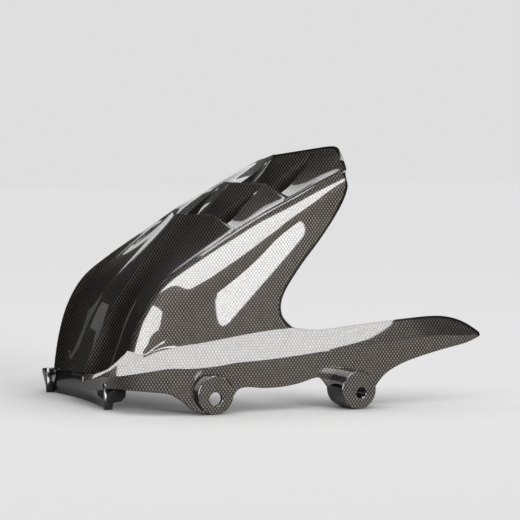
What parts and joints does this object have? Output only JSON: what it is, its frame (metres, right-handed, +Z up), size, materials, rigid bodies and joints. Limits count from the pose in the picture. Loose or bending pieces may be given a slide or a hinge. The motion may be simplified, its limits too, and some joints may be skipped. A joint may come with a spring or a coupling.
{
  "type": "rear wheel hugger mudguard",
  "caption": "Rear wheel hugger mudguard for a motorbike, moulded in one piece with its chain guard, with stepped centre plates, a front lip and hollow mounting bosses.",
  "frame": {"origin": "on the axis of the front boss's bolt hole, in the middle of the boss face's thickness", "axes": "+X to the rear of the bike, +Y to its right side, away from the chain, +Z up. The part stands as in the picture, on its lip and its two bosses, with the ground 14.1 mm below the origin"},
  "size_m": [0.3518, 0.2751, 0.2385],
  "materials": {
    "moulding": "black fibre weave print under clear gloss lacquer, plain gloss black on the front lip"
  },
  "bodies": {
    "root": {"hugger_moulding": "moulding"}
  },
  "joints": []
}
